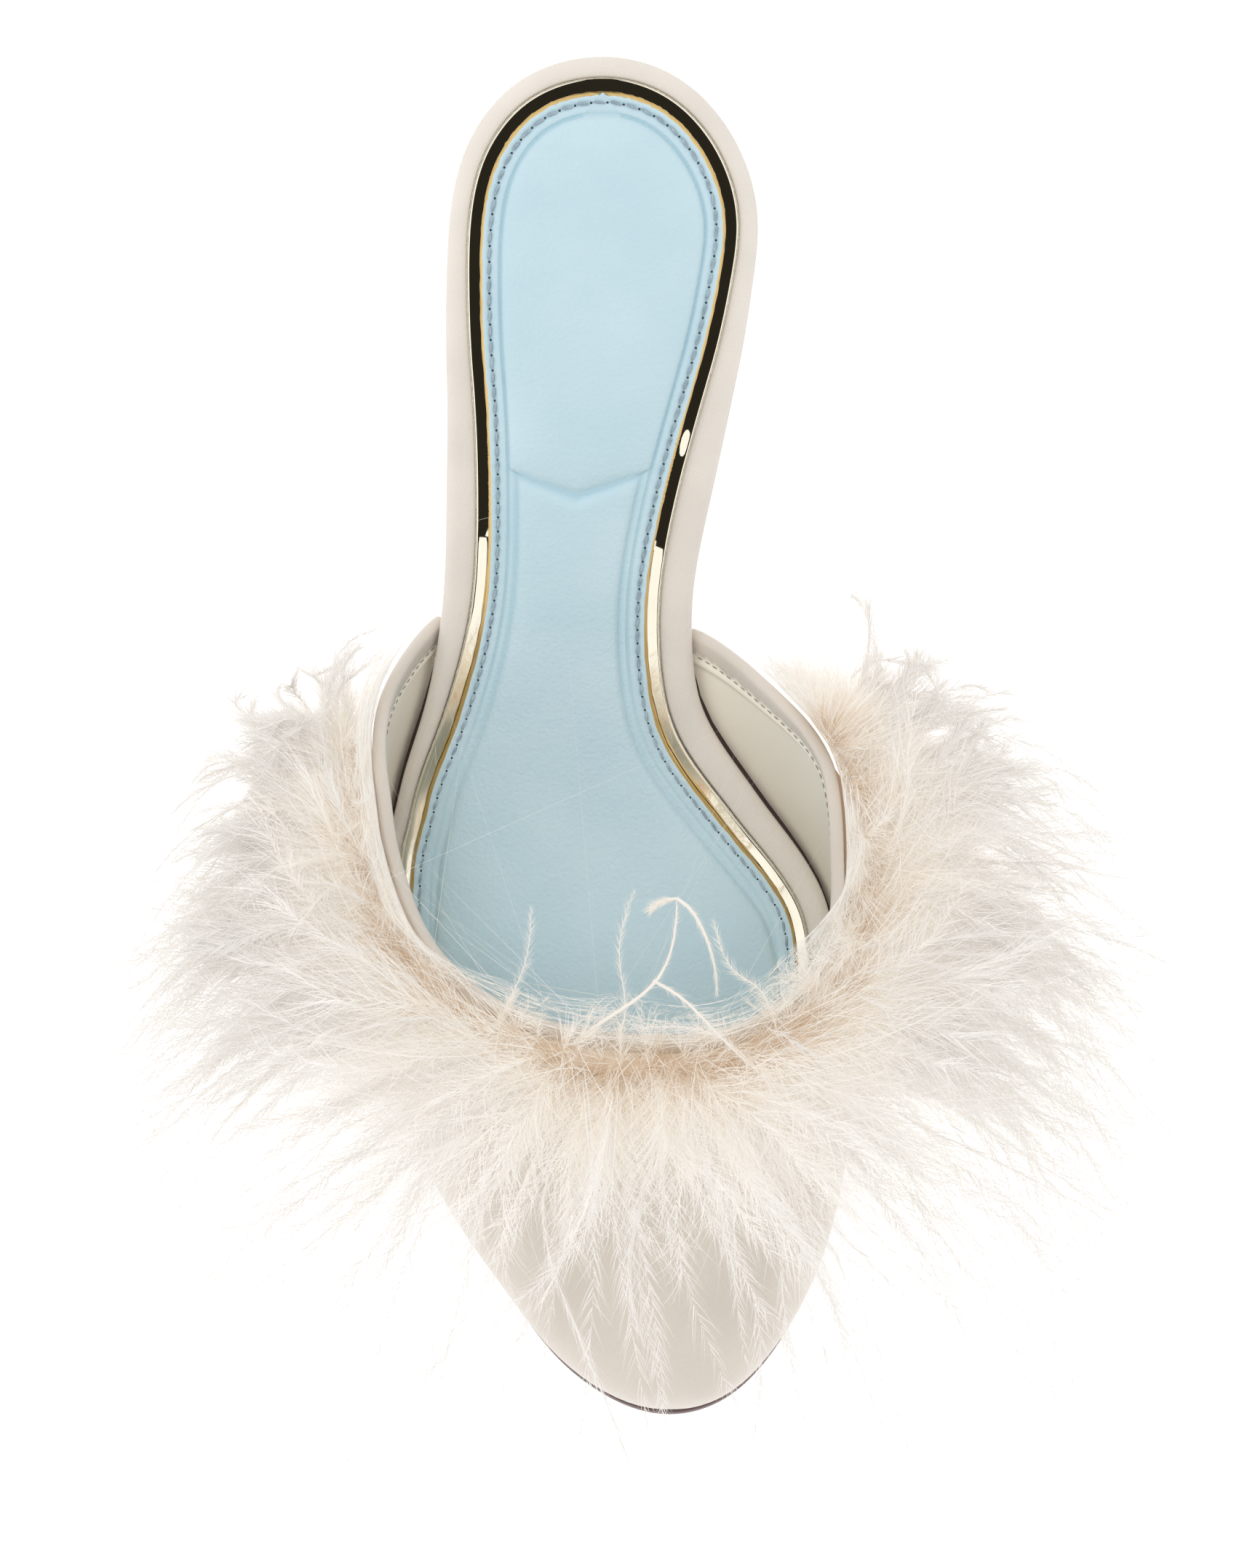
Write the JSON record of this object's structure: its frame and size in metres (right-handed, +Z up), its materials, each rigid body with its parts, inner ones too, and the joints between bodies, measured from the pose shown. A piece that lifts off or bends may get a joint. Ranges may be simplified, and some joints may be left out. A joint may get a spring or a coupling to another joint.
{
  "type": "marabou slipper",
  "caption": "Right-foot open-back heeled slipper: almond toe, satin vamp, padded sock with a mirror rim, slim covered heel and a wide feather band round the throat",
  "frame": {"origin": "on the floor, in the middle of the flat of the forefoot tread", "axes": "+Z is up, the toe points along -Y, the heel along +Y, and +X is the inner side of the foot"},
  "size_m": [0.1959, 0.2519, 0.0903],
  "materials": {
    "outsole_leather": "smooth, dark brown",
    "satin_heel": "satin cloth over a moulded heel",
    "lift_rubber": "matt",
    "satin_footbed": "satin cloth wrapped round a leather board",
    "gold_mirror": "mirror gold film",
    "blue_leather": "fine grain, padded",
    "satin_upper": "satin outside, smooth cream lining inside",
    "marabou": "down and barbed feathers"
  },
  "bodies": {
    "root": {"outsole": "outsole_leather", "heel": "satin_heel", "top_lift": "lift_rubber", "footbed": "satin_footbed", "gold_rand": "gold_mirror", "sock": "blue_leather", "upper": "satin_upper", "marabou_trim": "marabou"}
  },
  "joints": []
}
